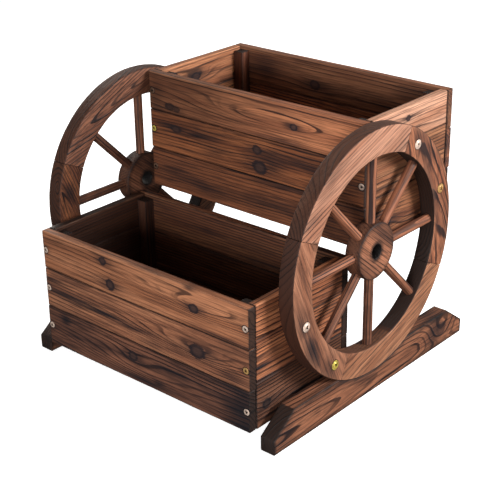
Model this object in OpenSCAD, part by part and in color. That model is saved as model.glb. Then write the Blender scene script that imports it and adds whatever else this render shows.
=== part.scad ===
// Two-tier wooden planter between two wagon wheels.
// Two open plank boxes, the back one a step higher, hang between two spoked
// wheels that stand in cradles cut in two foot beams. Millimetres, +Z up,
// +X towards the right wheel, +Y towards the back, floor at z = 0.

/* [Boxes] */
// Length of the lower (front) box along its front planks
lower_len = 398; // [380:1:400]
// Length of the upper (back) box along its front planks
upper_len = 409; // [390:1:411]
// Depth of each box, front face to back face
box_depth = 210; // [190:1:212]
// Height of the lower box's bottom edge above the floor
lower_z = 24; // [18:0.5:30]
// Height of the upper box's bottom edge above the floor
upper_z = 207; // [206:0.5:214]
// Distance from the lower box's front face to the upper box's front face
upper_y = 235; // [232:1:244]

/* [Planks] */
// Thickness of every wall plank
plank_t = 13; // [11:0.5:14]
// Height of the bottom plank of a front or back wall
plank_bot = 62; // [58:0.5:63]
// Height of the middle plank of a front or back wall
plank_mid = 61.6; // [58:0.2:63]
// Height of the top plank of a front or back wall
plank_top = 59.4; // [56:0.2:61]
// Height of the bottom plank of a left or right wall
side_bot = 69.5; // [64:0.5:71]
// Height of the middle plank of a left or right wall
side_mid = 63.5; // [60:0.5:66]
// Open seam between two planks in one wall
seam = 0.4; // [0.2:0.1:1]
// How far the front planks' ends stand proud of the side walls
end_proud = 0.8; // [0.4:0.1:1.5]

/* [Frame inside each box] */
// Width of the square corner posts
post_w = 18; // [14:1:22]
// Drop of the post tops below the box rim
post_drop = 5; // [2:0.5:12]
// Height and width of the floor battens
batten_w = 14; // [10:1:18]
// Thickness of the floor slats
slat_t = 10; // [8:1:13]
// Drain gap between floor slats
slat_gap = 6; // [3:1:12]

/* [Wheels] */
// Outer diameter of each wheel
wheel_d = 360; // [350:1:364]
// Radial width of the rim
rim_w = 39.5; // [34:0.5:44]
// Thickness of rim, hub and foot beam
rim_t = 24; // [20:1:26]
// Distance from the middle of the planter to the inner face of a wheel
wheel_x = 209; // [207:0.5:214]
// Wheel axis, behind the lower box's front face
wheel_y = 225.5; // [220:0.5:230]
// Wheel axis, above the floor
wheel_z = 213.5; // [208:0.5:216]
// Direction of the first felloe joint
joint_deg = 65.5; // [62:0.5:70]
// Height of the hub's centre above the wheel axis
hub_up = 4; // [0:0.5:5]
// Diameter of the hub
hub_d = 82; // [74:1:90]
// Diameter of the hub bore
bore_d = 20; // [14:1:24]
// Diameter of each spoke
spoke_d = 13.5; // [10:0.5:15]
// Depth of the spoke sockets in rim and hub
socket = 12; // [8:1:14]

/* [Feet] */
// Length of each foot beam
foot_len = 450; // [430:1:470]
// Height of each foot beam
foot_h = 52.8; // [46:0.2:58]
// Front end of a foot beam, behind the lower box's front face
foot_y = 7.5; // [2:0.5:16]
// Height of the upright toe at each end
toe_h = 21.6; // [16:0.2:26]
// Length of the sloped end
slope_len = 42.3; // [34:0.1:50]

/* [Fasteners] */
// Head diameter of a wall screw
screw_head = 9.4; // [7:0.2:10.6]
// Shank diameter of a wall screw
screw_d = 4; // [3:0.5:4.5]
// Length of a wall screw
screw_len = 38; // [30:1:50]
// Distance of a wall screw from the plank's end
screw_in = 6.6; // [6:0.1:7.4]
// Head diameter of a wheel screw
bolt_head = 14; // [11:0.5:16]
// Shank diameter of a wheel screw
bolt_d = 6; // [5:0.5:7]
// Outside diameter of the spacer between box and wheel
spacer_d = 20; // [16:1:24]

/* [Hidden] */
$fn = 96;

head_proud = 0.5;
y0 = -(foot_y + foot_len - head_proud) / 2;  // middle of the whole planter in Y
wheel_r = wheel_d / 2;
rim_ri = wheel_r - rim_w;
hub_r = hub_d / 2;
fit = 0.1;
wall = [plank_bot, plank_mid, plank_top];
wall_h = plank_bot + plank_mid + plank_top;
side_top = wall_h - side_bot - side_mid;
side = [side_bot, side_mid, side_top];
bolt_r = rim_ri + rim_w / 2;
// wheel screws: direction, and which box they enter (0 lower, 1 upper)
bolts = [[18, 1], [56, 1], [198, 0], [236, 0]];
box_len = [lower_len, upper_len];
box_z = [lower_z, upper_z];
box_y = [0, upper_y];

lit = [0.60, 0.38, 0.26];
wood = [0.50, 0.30, 0.20];
char = [0.30, 0.20, 0.16];
brass = [0.80, 0.68, 0.38];

function sum_to(v, n) = n == 0 ? 0 : v[n - 1] + sum_to(v, n - 1);
// outer face of box b's side walls
function side_x(b) = box_len[b] / 2 - end_proud;
function inner_x(b) = side_x(b) - plank_t;

module place() { translate([0, y0, 0]) children(); }
// local x, y, z become Y, Z, X about the wheel axis
module on_wheel(x) { translate([x, wheel_y, wheel_z]) rotate([90, 0, 90]) children(); }
// the same about the hub's own centre
module on_hub(x) { translate([x, wheel_y, wheel_z + hub_up]) rotate([90, 0, 90]) children(); }
module mirrored(left) { if (left) mirror([1, 0, 0]) children(); else children(); }
// distance from the hub's centre to a circle of radius r about the wheel axis
function reach(r, a) = sqrt(r * r - pow(hub_up * cos(a), 2)) - hub_up * sin(a);
// a countersunk wall screw, head at the origin, pointing along +Y
module wall_screw() {
  rotate([-90, 0, 0]) difference() {
    union() {
      translate([0, 0, -head_proud]) cylinder(r = screw_head / 2, h = head_proud + 0.4);
      translate([0, 0, 0.4]) cylinder(r1 = screw_head / 2, r2 = screw_d / 2, h = 2.6);
      translate([0, 0, 3]) cylinder(r = screw_d / 2, h = screw_len - 6);
      translate([0, 0, screw_len - 3]) cylinder(r1 = screw_d / 2, r2 = 0.5, h = 3);
    }
    translate([-2.6, -0.55, -1]) cube([5.2, 1.1, 2]);
    translate([-0.55, -2.6, -1]) cube([1.1, 5.2, 2]);
  }
}
module wall_screw_hole() {
  rotate([-90, 0, 0]) {
    translate([0, 0, -1]) cylinder(r = screw_head / 2 + fit, h = 1.4);
    translate([0, 0, 0.4]) cylinder(r1 = screw_head / 2 + fit, r2 = screw_d / 2 + fit, h = 2.6);
    translate([0, 0, 2.9]) cylinder(r = screw_d / 2 + fit, h = screw_len - 2.7);
  }
}
// one wall of box b: centre height of plank k
function wall_zc(b, k) = box_z[b] + sum_to(wall, k) + wall[k] / 2;
module long_plank(b, k, back) {
  yy = box_y[b] + (back ? box_depth - plank_t : 0);
  place() difference() {
    translate([-box_len[b] / 2, yy, box_z[b] + sum_to(wall, k) + (k > 0 ? seam : 0)])
      cube([box_len[b], plank_t, wall[k] - (k > 0 ? seam : 0)]);
    for (s = [-1, 1])
      translate([s * (box_len[b] / 2 - screw_in), back ? yy + plank_t : yy, wall_zc(b, k)])
        rotate([0, 0, back ? 180 : 0]) wall_screw_hole();
  }
}
module side_plank(b, k, left) {
  z = box_z[b] + sum_to(side, k) + (k > 0 ? seam : 0);
  place() mirrored(left) difference() {
    translate([inner_x(b), box_y[b] + plank_t + 0.6, z])
      cube([plank_t, box_depth - 2 * plank_t - 1.2, side[k] - (k > 0 ? seam : 0)]);
    for (j = [0:2])
      translate([box_len[b] / 2 - screw_in, 0, wall_zc(b, j)]) {
        translate([0, box_y[b], 0]) wall_screw_hole();
        translate([0, box_y[b] + box_depth, 0]) rotate([0, 0, 180]) wall_screw_hole();
      }
    for (p = bolts) if (p[1] == b)
      on_wheel(inner_x(b) + 1) rotate([0, 0, p[0]]) translate([bolt_r, 0, 0])
        cylinder(r = bolt_d / 2 + fit, h = plank_t + 5);
  }
}
module post(b, left, back) {
  z = box_z[b] + batten_w + slat_t + 0.2;
  y = back ? box_y[b] + box_depth - plank_t - post_w : box_y[b] + plank_t;
  place() mirrored(left) translate([inner_x(b) - post_w, y, z])
    cube([post_w, post_w, box_z[b] + wall_h - post_drop - z]);
}
module battens(b) {
  place() for (left = [false, true]) mirrored(left)
    translate([inner_x(b) - batten_w, box_y[b] + plank_t + 0.2, box_z[b]])
      cube([batten_w, box_depth - 2 * plank_t - 0.4, batten_w]);
}
module slats(b) {
  w = (box_depth - 2 * plank_t - 2 * slat_gap - 1) / 3;
  place() for (k = [0:2])
    translate([-inner_x(b) + 0.5, box_y[b] + plank_t + 0.5 + k * (w + slat_gap), box_z[b] + batten_w])
      cube([2 * inner_x(b) - 1, w, slat_t]);
}
// felloe q: the quarter of the rim that starts at joint_deg + 90 q
module felloe(q, left) {
  a0 = joint_deg + 90 * q;
  g = 0.1;  // half gap at each butt joint
  place() mirrored(left) difference() {
    on_wheel(wheel_x) intersection() {
      difference() {
        cylinder(r = wheel_r, h = rim_t);
        translate([0, 0, -1]) cylinder(r = rim_ri, h = rim_t + 2);
      }
      rotate([0, 0, a0]) translate([g, g, -1]) cube([wheel_d, wheel_d, rim_t + 2]);
    }
    on_hub(wheel_x) for (a = [0:45:315]) rotate([0, 0, a])
      translate([reach(rim_ri, a) - 6, 0, rim_t / 2])
        rotate([0, 90, 0]) cylinder(r = spoke_d / 2 + fit, h = socket + 6.3);
    on_wheel(wheel_x) for (p = bolts) rotate([0, 0, p[0]]) translate([bolt_r, 0, -1])
      cylinder(r = bolt_d / 2 + fit, h = rim_t + 2);
  }
}
module hub(left) {
  place() mirrored(left) on_hub(wheel_x) difference() {
    cylinder(r = hub_r, h = rim_t);
    translate([0, 0, -1]) cylinder(r = bore_d / 2, h = rim_t + 2);
    for (a = [0:45:315]) rotate([0, 0, a]) translate([hub_r - socket - 0.3, 0, rim_t / 2])
      rotate([0, 90, 0]) cylinder(r = spoke_d / 2 + fit, h = socket + 5);
  }
}
module spokes(left) {
  place() mirrored(left) on_hub(wheel_x) for (a = [0:45:315])
    rotate([0, 0, a]) translate([hub_r - socket, 0, rim_t / 2])
      rotate([0, 90, 0]) cylinder(r = spoke_d / 2, h = reach(rim_ri, a) - hub_r + 2 * socket);
}
// foot beam: sloped ends, with a cradle that the rim stands in
module foot_beam(left) {
  place() mirrored(left) translate([wheel_x, 0, 0]) rotate([90, 0, 90]) difference() {
    linear_extrude(height = rim_t) polygon([
      [foot_y, 0], [foot_y + foot_len, 0], [foot_y + foot_len, toe_h],
      [foot_y + foot_len - slope_len, foot_h], [foot_y + slope_len, foot_h], [foot_y, toe_h]]);
    translate([wheel_y, wheel_z, -1]) cylinder(r = wheel_r + 0.2, h = rim_t + 2);
  }
}
module box_screws(b) {
  place() for (s = [-1, 1]) for (k = [0:2])
    translate([s * (box_len[b] / 2 - screw_in), 0, wall_zc(b, k)]) {
      translate([0, box_y[b], 0]) wall_screw();
      translate([0, box_y[b] + box_depth, 0]) rotate([0, 0, 180]) wall_screw();
    }
}
// pan-head screw, head on the wheel's outer face, tip inside the box wall
module wheel_screws(left) {
  place() mirrored(left) for (p = bolts)
    on_wheel(wheel_x + rim_t) rotate([0, 0, p[0]]) translate([bolt_r, 0, 0]) difference() {
      union() {
        cylinder(r = bolt_head / 2, h = 1);
        translate([0, 0, 1]) cylinder(r1 = bolt_head / 2, r2 = bolt_head / 2 - 2.2, h = 1.2);
        translate([0, 0, -(wheel_x + rim_t - inner_x(p[1]) - 1.5)])
          cylinder(r = bolt_d / 2, h = wheel_x + rim_t - inner_x(p[1]) - 1.5);
      }
      translate([-3.6, -0.8, 0.6]) cube([7.2, 1.6, 3]);
      translate([-0.8, -3.6, 0.6]) cube([1.6, 7.2, 3]);
    }
}
module wheel_spacers(left) {
  place() mirrored(left) for (p = bolts)
    on_wheel(side_x(p[1])) rotate([0, 0, p[0]]) translate([bolt_r, 0, 0]) difference() {
      cylinder(r = spacer_d / 2, h = wheel_x - side_x(p[1]));
      translate([0, 0, -1]) cylinder(r = bolt_d / 2 + fit, h = wheel_x - side_x(p[1]) + 2);
    }
}

module lower_front_plank_bottom() { color(char) long_plank(0, 0, false); }
module lower_front_plank_middle() { color(wood) long_plank(0, 1, false); }
module lower_front_plank_top() { color(lit) long_plank(0, 2, false); }
module lower_back_plank_bottom() { color(char) long_plank(0, 0, true); }
module lower_back_plank_middle() { color(wood) long_plank(0, 1, true); }
module lower_back_plank_top() { color(wood) long_plank(0, 2, true); }
module lower_left_plank_bottom() { color(wood) side_plank(0, 0, true); }
module lower_left_plank_middle() { color(wood) side_plank(0, 1, true); }
module lower_left_plank_top() { color(lit) side_plank(0, 2, true); }
module lower_right_plank_bottom() { color(wood) side_plank(0, 0, false); }
module lower_right_plank_middle() { color(wood) side_plank(0, 1, false); }
module lower_right_plank_top() { color(lit) side_plank(0, 2, false); }
module lower_post_front_left() { color(wood) post(0, true, false); }
module lower_post_front_right() { color(wood) post(0, false, false); }
module lower_post_back_left() { color(wood) post(0, true, true); }
module lower_post_back_right() { color(wood) post(0, false, true); }
module lower_floor_battens() { color(wood) battens(0); }
module lower_floor_slats() { color(wood) slats(0); }
module upper_front_plank_bottom() { color(char) long_plank(1, 0, false); }
module upper_front_plank_middle() { color(wood) long_plank(1, 1, false); }
module upper_front_plank_top() { color(lit) long_plank(1, 2, false); }
module upper_back_plank_bottom() { color(char) long_plank(1, 0, true); }
module upper_back_plank_middle() { color(wood) long_plank(1, 1, true); }
module upper_back_plank_top() { color(wood) long_plank(1, 2, true); }
module upper_left_plank_bottom() { color(wood) side_plank(1, 0, true); }
module upper_left_plank_middle() { color(wood) side_plank(1, 1, true); }
module upper_left_plank_top() { color(lit) side_plank(1, 2, true); }
module upper_right_plank_bottom() { color(wood) side_plank(1, 0, false); }
module upper_right_plank_middle() { color(wood) side_plank(1, 1, false); }
module upper_right_plank_top() { color(lit) side_plank(1, 2, false); }
module upper_post_front_left() { color(wood) post(1, true, false); }
module upper_post_front_right() { color(wood) post(1, false, false); }
module upper_post_back_left() { color(wood) post(1, true, true); }
module upper_post_back_right() { color(wood) post(1, false, true); }
module upper_floor_battens() { color(wood) battens(1); }
module upper_floor_slats() { color(wood) slats(1); }
module left_felloe_upper_front() { color(lit) felloe(0, true); }
module left_felloe_lower_front() { color(wood) felloe(1, true); }
module left_felloe_lower_back() { color(lit) felloe(2, true); }
module left_felloe_upper_back() { color(wood) felloe(3, true); }
module right_felloe_upper_front() { color(lit) felloe(0, false); }
module right_felloe_lower_front() { color(wood) felloe(1, false); }
module right_felloe_lower_back() { color(lit) felloe(2, false); }
module right_felloe_upper_back() { color(wood) felloe(3, false); }
module left_hub() { color(lit) hub(true); }
module right_hub() { color(lit) hub(false); }
module left_spokes() { color(char) spokes(true); }
module right_spokes() { color(char) spokes(false); }
module left_foot_beam() { color(wood) foot_beam(true); }
module right_foot_beam() { color(wood) foot_beam(false); }
module lower_box_screws() { color(brass) box_screws(0); }
module upper_box_screws() { color(brass) box_screws(1); }
module left_wheel_screws() { color(brass) wheel_screws(true); }
module right_wheel_screws() { color(brass) wheel_screws(false); }
module left_wheel_spacers() { color(wood) wheel_spacers(true); }
module right_wheel_spacers() { color(wood) wheel_spacers(false); }

lower_front_plank_bottom();
lower_front_plank_middle();
lower_front_plank_top();
lower_back_plank_bottom();
lower_back_plank_middle();
lower_back_plank_top();
lower_left_plank_bottom();
lower_left_plank_middle();
lower_left_plank_top();
lower_right_plank_bottom();
lower_right_plank_middle();
lower_right_plank_top();
lower_post_front_left();
lower_post_front_right();
lower_post_back_left();
lower_post_back_right();
lower_floor_battens();
lower_floor_slats();
upper_front_plank_bottom();
upper_front_plank_middle();
upper_front_plank_top();
upper_back_plank_bottom();
upper_back_plank_middle();
upper_back_plank_top();
upper_left_plank_bottom();
upper_left_plank_middle();
upper_left_plank_top();
upper_right_plank_bottom();
upper_right_plank_middle();
upper_right_plank_top();
upper_post_front_left();
upper_post_front_right();
upper_post_back_left();
upper_post_back_right();
upper_floor_battens();
upper_floor_slats();
left_felloe_upper_front();
left_felloe_lower_front();
left_felloe_lower_back();
left_felloe_upper_back();
right_felloe_upper_front();
right_felloe_lower_front();
right_felloe_lower_back();
right_felloe_upper_back();
left_hub();
right_hub();
left_spokes();
right_spokes();
left_foot_beam();
right_foot_beam();
lower_box_screws();
upper_box_screws();
left_wheel_screws();
right_wheel_screws();
left_wheel_spacers();
right_wheel_spacers();
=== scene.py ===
import math
import bpy
import bmesh
from mathutils import Matrix, Vector, noise


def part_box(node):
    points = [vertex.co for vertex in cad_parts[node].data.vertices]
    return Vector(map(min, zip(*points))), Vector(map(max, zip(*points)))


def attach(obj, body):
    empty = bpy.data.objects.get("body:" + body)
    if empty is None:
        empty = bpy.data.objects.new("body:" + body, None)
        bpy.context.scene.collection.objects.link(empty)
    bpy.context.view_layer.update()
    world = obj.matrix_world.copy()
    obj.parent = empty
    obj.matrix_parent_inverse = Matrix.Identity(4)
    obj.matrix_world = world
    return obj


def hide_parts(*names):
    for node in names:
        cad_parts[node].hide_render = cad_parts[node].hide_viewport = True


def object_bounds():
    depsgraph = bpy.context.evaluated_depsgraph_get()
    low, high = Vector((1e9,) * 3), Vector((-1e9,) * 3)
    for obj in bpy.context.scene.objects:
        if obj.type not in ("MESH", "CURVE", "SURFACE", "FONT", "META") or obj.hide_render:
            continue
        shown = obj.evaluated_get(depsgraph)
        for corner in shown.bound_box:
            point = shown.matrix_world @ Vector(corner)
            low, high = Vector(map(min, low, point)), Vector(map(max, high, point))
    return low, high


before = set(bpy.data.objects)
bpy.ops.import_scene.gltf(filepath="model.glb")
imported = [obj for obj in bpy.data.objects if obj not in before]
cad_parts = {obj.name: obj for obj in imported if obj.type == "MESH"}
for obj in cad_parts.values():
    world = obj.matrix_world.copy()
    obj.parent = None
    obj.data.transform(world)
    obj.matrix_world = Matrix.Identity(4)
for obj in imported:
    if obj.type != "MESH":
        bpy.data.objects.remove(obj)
cad_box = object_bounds()
scene = bpy.context.scene

# ---------------------------------------------------------------- view
RIGHT = Vector((0.755316, 0.655224, -0.013436))
DOWN = Vector((0.260180, -0.318615, -0.911477))
FORWARD = Vector((-0.601502, 0.684957, -0.411131))
cam_data = bpy.data.cameras.new("camera")
cam = bpy.data.objects.new("camera", cam_data)
scene.collection.objects.link(cam)
cam.matrix_world = Matrix((
    (RIGHT.x, -DOWN.x, -FORWARD.x, 1.1009),
    (RIGHT.y, -DOWN.y, -FORWARD.y, -1.2490),
    (RIGHT.z, -DOWN.z, -FORWARD.z, 0.9053),
    (0, 0, 0, 1)))
cam_data.sensor_width = 36.0
cam_data.lens = 88.10
cam_data.shift_x = -0.0026
cam_data.shift_y = -0.0029
cam_data.clip_start = 0.05
cam_data.clip_end = 50
scene.camera = cam
scene.view_settings.view_transform = "Standard"
scene.view_settings.look = "None"


def srgb(r, g, b):
    def f(c):
        c /= 255.0
        return c / 12.92 if c <= 0.04045 else ((c + 0.055) / 1.055) ** 2.4
    return (f(r), f(g), f(b), 1.0)


# ---------------------------------------------------------------- node graph helper
class Graph:
    def __init__(self, name):
        self.mat = bpy.data.materials.new(name)
        self.mat.use_nodes = True
        self.nt = self.mat.node_tree
        self.nt.nodes.clear()
        self.out = self.nt.nodes.new("ShaderNodeOutputMaterial")
        self.bsdf = self.nt.nodes.new("ShaderNodeBsdfPrincipled")
        self.nt.links.new(self.bsdf.outputs[0], self.out.inputs[0])

    def put(self, socket, value):
        if hasattr(value, "is_output") or isinstance(value, bpy.types.NodeSocket):
            self.nt.links.new(value, socket)
        elif value is not None:
            socket.default_value = value

    def m(self, op, a, b=None, c=None, clamp=False):
        n = self.nt.nodes.new("ShaderNodeMath")
        n.operation = op
        n.use_clamp = clamp
        self.put(n.inputs[0], a)
        if b is not None:
            self.put(n.inputs[1], b)
        if c is not None:
            self.put(n.inputs[2], c)
        return n.outputs[0]

    def vm(self, op, a, b=None):
        n = self.nt.nodes.new("ShaderNodeVectorMath")
        n.operation = op
        self.put(n.inputs[0], a)
        if b is not None:
            self.put(n.inputs[1], b)
        return n.outputs[0]

    def noise(self, vec, scale3, offset, detail=2.0, rough=0.5):
        v = self.vm("MULTIPLY", vec, scale3)
        v = self.vm("ADD", v, offset)
        n = self.nt.nodes.new("ShaderNodeTexNoise")
        n.noise_dimensions = "3D"
        self.put(n.inputs["Vector"], v)
        n.inputs["Scale"].default_value = 1.0
        n.inputs["Detail"].default_value = detail
        n.inputs["Roughness"].default_value = rough
        return n.outputs["Fac"]

    def smooth(self, x, a, b, lo=0.0, hi=1.0):
        n = self.nt.nodes.new("ShaderNodeMapRange")
        n.interpolation_type = "SMOOTHSTEP"
        self.put(n.inputs["Value"], x)
        n.inputs["From Min"].default_value = a
        n.inputs["From Max"].default_value = b
        n.inputs["To Min"].default_value = lo
        n.inputs["To Max"].default_value = hi
        return n.outputs["Result"]

    def mix(self, fac, a, b, blend="MIX"):
        n = self.nt.nodes.new("ShaderNodeMix")
        n.data_type = "RGBA"
        n.blend_type = blend
        n.clamp_factor = True
        self.put(n.inputs[0], fac)
        self.put(n.inputs[6], a)
        self.put(n.inputs[7], b)
        return n.outputs[2]

    def deep(self, f):
        """Turns an even fade into one that looks even to the eye when it darkens a light colour."""
        k = self.m("SUBTRACT", 1.0, f, clamp=True)
        return self.m("SUBTRACT", 1.0, self.m("MULTIPLY", k, k))

    def attr(self, name, vector=False):
        n = self.nt.nodes.new("ShaderNodeAttribute")
        n.attribute_type = "GEOMETRY"
        n.attribute_name = name
        return n.outputs["Vector"] if vector else n.outputs["Fac"]


TAN = srgb(186, 118, 78)
BROWN = srgb(150, 86, 52)
RED = srgb(128, 66, 38)
LATE = srgb(38, 23, 20)
CHAR = srgb(20, 17, 21)
GREY = srgb(38, 27, 25)
TINT = (1.16, 1.26, 1.40)


def wood(name, seed=0.0, spacing=0.0034, early=TAN, early2=BROWN, late=LATE, char=CHAR, smoke=0.45,
         contrast=0.85, late_w=0.42, wob1=0.004, wob2=0.0009, knots=(), patches=(), streaks=0.40,
         end_and_shade_dark=0.95, rough=0.6, object_coords=False, gain=1.0, bump=0.0007, fade_lo=0.25, grad=None, cut_and_shade_dark=0.72, wear_amt=0.35, hole_shade=()):
    """Burnt and brushed softwood. The attribute gc holds grain coordinates in metres: along the grain, then
    the two directions across it with the pith at zero. knots: (l, u, half length, half width, lift, darkness). A ramp
    along l paints light, and the hole list paints shade inside recesses."""
    g = Graph(name)
    if object_coords:
        n = g.nt.nodes.new("ShaderNodeTexCoord")
        gc = n.outputs["Object"]
    else:
        gc = g.attr("gc", True)
    sep = g.nt.nodes.new("ShaderNodeSeparateXYZ")
    g.put(sep.inputs[0], gc)
    L, U, V = sep.outputs
    o = (seed * 3.17, seed * 1.31 + 4.0, seed * 2.23 + 9.0)
    big = g.noise(gc, (3.0, 15.0, 15.0), o, 1.0)
    small = g.noise(gc, (13.0, 75.0, 75.0), o, 1.0)
    fib = g.noise(gc, (40.0, 800.0, 800.0), o, 2.0, 0.6)
    rag = g.noise(gc, (110.0, 330.0, 330.0), (o[2], o[1], o[0]), 2.0, 0.6)
    r = g.m("SQRT", g.m("ADD", g.m("MULTIPLY", U, U), g.m("MULTIPLY", V, V)))
    r = g.m("MULTIPLY_ADD", g.m("SUBTRACT", big, 0.5), wob1 * 2.0, r)
    r = g.m("MULTIPLY_ADD", g.m("SUBTRACT", small, 0.5), wob2 * 2.0, r)
    kmask = None
    kq = None
    dark = None
    for (kl, ku, ka, kb, lift, core) in knots:
        dl = g.m("MULTIPLY", g.m("SUBTRACT", L, kl), 1.0 / ka)
        du = g.m("MULTIPLY", g.m("SUBTRACT", U, ku), 1.0 / kb)
        q2 = g.m("ADD", g.m("MULTIPLY", dl, dl), g.m("MULTIPLY", du, du))
        dl2 = g.m("MULTIPLY", dl, 0.45)
        q3 = g.m("ADD", g.m("MULTIPLY", dl2, dl2), g.m("MULTIPLY", du, du))
        e = g.m("EXPONENT", g.m("MULTIPLY", q3, -0.28))
        r = g.m("MULTIPLY_ADD", e, lift, r)
        if core > 0:
            qq = g.m("ADD", q2, g.m("MULTIPLY", g.m("SUBTRACT", rag, 0.5), 1.9))
            k = g.m("MULTIPLY", g.smooth(qq, 1.60, 0.80), core)
            kmask = k if kmask is None else g.m("MAXIMUM", kmask, k)
            kq = q2 if kq is None else g.m("MINIMUM", kq, q2)
            h = g.m("MULTIPLY", g.m("EXPONENT", g.m("MULTIPLY", g.m("ADD", q3, g.m("MULTIPLY", g.m("SUBTRACT", rag, 0.5), 1.6)), -0.70)), 0.80 * core)
            dark = h if dark is None else g.m("MAXIMUM", dark, h)
    for (pl, pu, pa, pb, strength) in patches:
        dl = g.m("MULTIPLY", g.m("SUBTRACT", L, pl), 1.0 / pa)
        du = g.m("MULTIPLY", g.m("SUBTRACT", U, pu), 1.0 / pb)
        q2 = g.m("ADD", g.m("MULTIPLY", dl, dl), g.m("MULTIPLY", du, du))
        q2 = g.m("ADD", q2, g.m("MULTIPLY", g.m("SUBTRACT", small, 0.5), 1.6))
        h = g.m("MULTIPLY", g.m("EXPONENT", g.m("MULTIPLY", q2, -1.0)), strength)
        dark = h if dark is None else g.m("MAXIMUM", dark, h)
    ph = g.m("MULTIPLY", r, 1.0 / spacing)
    f = g.m("FRACT", ph)
    ring = g.m("FLOOR", ph)
    wn = g.nt.nodes.new("ShaderNodeTexWhiteNoise")
    wn.noise_dimensions = "1D"
    g.put(wn.inputs["W"], g.m("ADD", ring, seed * 7.0 + 0.5))
    rn = wn.outputs["Value"]
    core = g.smooth(f, 0.95 - late_w, 0.95 - late_w * 0.50)
    soft = g.smooth(f, 0.15, 0.80, 0.0, 0.22)
    fall = g.smooth(f, 0.94, 1.0, 1.0, 0.0)
    lt = g.m("MULTIPLY", g.m("MAXIMUM", core, soft), fall)
    fade = g.noise(gc, (7.0, 45.0, 45.0), (o[1], o[2], o[0]), 2.0)
    lt = g.m("MULTIPLY", lt, g.m("MULTIPLY_ADD", rn, 0.62, 0.38))
    lt_c = g.m("MULTIPLY", lt, g.smooth(fade, 0.34, 0.60, fade_lo, 1.0), clamp=True)
    # thin secondary lines that run with the rings
    f2 = g.m("FRACT", g.m("MULTIPLY_ADD", ph, 2.0, 0.37))
    thin = g.m("MULTIPLY", g.smooth(f2, 0.55, 0.80), g.smooth(f2, 0.86, 1.0, 1.0, 0.0))
    thin = g.m("MULTIPLY", thin, g.smooth(fade, 0.62, 0.38, 0.05, 0.30))
    smk = g.noise(gc, (6.0, 30.0, 30.0), (o[2], o[0], o[1]), 3.0, 0.6)
    smk = g.m("MULTIPLY", g.smooth(smk, 0.47, 0.72), smoke)
    strk = g.noise(gc, (8.0, 330.0, 330.0), o, 3.0, 0.6)
    strk = g.m("MULTIPLY", g.smooth(strk, 0.52, 0.68), streaks)
    hair = g.noise(gc, (9.0, 460.0, 460.0), (o[1], o[0], o[2]), 2.0, 0.6)
    hair = g.smooth(hair, 0.50, 0.68, 0.0, 0.50)
    tone = g.noise(gc, (5.0, 60.0, 60.0), (o[0] + 5.0, o[1], o[2]), 2.0)
    col = g.mix(g.smooth(tone, 0.35, 0.65), early, early2)
    col = g.mix(g.deep(g.m("MULTIPLY", lt_c, contrast)), col, late)
    col = g.mix(thin, col, late)
    # the latewood chars first, so smoke darkens the lines more than the ground
    burn = g.m("MULTIPLY", smk, g.m("MULTIPLY_ADD", lt, 0.55, 0.55), clamp=True)
    col = g.mix(g.deep(burn), col, char)
    col = g.mix(g.deep(strk), col, late)
    col = g.mix(hair, col, late)
    if dark is not None:
        col = g.mix(g.deep(g.m("MULTIPLY", dark, g.m("MULTIPLY_ADD", lt, 0.55, 0.55), clamp=True)), col, char)
    if kmask is not None:
        kr = g.m("SINE", g.m("MULTIPLY", r, 5200.0))
        kc = g.mix(g.m("MULTIPLY_ADD", kr, 0.15, g.smooth(kq, 0.80, 0.10, 0.05, 0.60), clamp=True), srgb(30, 21, 23), srgb(76, 50, 40))
        col = g.mix(g.deep(kmask), col, kc)
    fb = g.m("MULTIPLY_ADD", g.m("SUBTRACT", fib, 0.5), 0.9, 1.0)
    # painted light: a brightness ramp along the board, so one end reads lighter as if nearer the lamps
    if grad is not None:
        fb = g.m("MULTIPLY", fb, g.smooth(L, grad[0], grad[1], grad[2], grad[3]))
    comb = g.nt.nodes.new("ShaderNodeCombineXYZ")
    for i in range(3):
        g.put(comb.inputs[i], g.m("MULTIPLY", fb, gain * TINT[i]))
    col = g.mix(1.0, col, comb.outputs[0], "MULTIPLY")
    if not object_coords:
        edge = g.attr("edge")
        wear = g.smooth(g.noise(gc, (60.0, 60.0, 60.0), o, 2.0), 0.40, 0.62)
        sharp = g.m("MULTIPLY", g.m("MAXIMUM", edge, 0.0), g.m("MULTIPLY_ADD", wear, -wear_amt, 1.0))
        col = g.mix(g.deep(g.m("MULTIPLY", sharp, 0.95)), col, srgb(22, 15, 15))
        # painted highlight: negative edge values lighten the arrises as if lit, broken up by the wear noise
        painted_arris_highlight = g.m("MULTIPLY", g.m("MULTIPLY", edge, -1.0, clamp=True), g.m("MULTIPLY_ADD", wear, 0.6, 0.4))
        col = g.mix(g.m("MULTIPLY", painted_arris_highlight, 0.55), col, srgb(206, 150, 116))
        # painted shade: this channel darkens the sawn faces of rims and hubs, and paints shade on the inside faces of
        # the boxes and on parts of the wheel rims
        cut = g.attr("cut_face_and_shade")
        col = g.mix(g.m("MULTIPLY", cut, cut_and_shade_dark), col, g.mix(g.m("MULTIPLY", lt, 0.8), srgb(66, 37, 25), srgb(24, 16, 14)))
        # end faces turn near black; the same channel also paints shade inside the hub bores and on the back half of the
        # rims' inner cylinders
        end_grain_and_shade = g.attr("end_grain_and_shade")
        col = g.mix(g.m("MULTIPLY", end_grain_and_shade, end_and_shade_dark), col, g.mix(lt, srgb(44, 29, 23), srgb(20, 16, 16)))
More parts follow.
